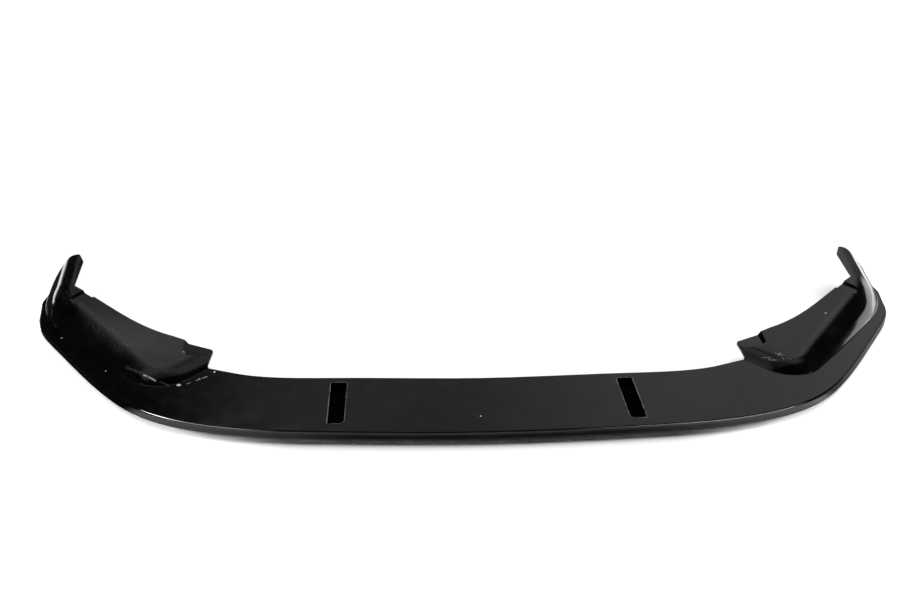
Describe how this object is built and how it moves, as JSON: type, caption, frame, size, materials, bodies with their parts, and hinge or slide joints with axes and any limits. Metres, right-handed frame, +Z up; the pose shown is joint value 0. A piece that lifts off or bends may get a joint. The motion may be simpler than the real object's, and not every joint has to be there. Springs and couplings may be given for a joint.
{
  "type": "front splitter lip",
  "caption": "Wide vacuum-formed splitter lip with a flat blade, rounded corners, raised inclined pads and rear fins; fixed under a car's front bumper.",
  "frame": {"origin": "middle of the footprint, on the floor under the skirt", "axes": "+X across the car towards the lip's right end as seen from the front, +Y towards the car, +Z up"},
  "size_m": [1.7924, 0.591, 0.0672],
  "materials": {
    "gloss_black_abs": "glossy black with a faint ripple"
  },
  "bodies": {
    "root": {"splitter_lip": "gloss_black_abs"}
  },
  "joints": []
}
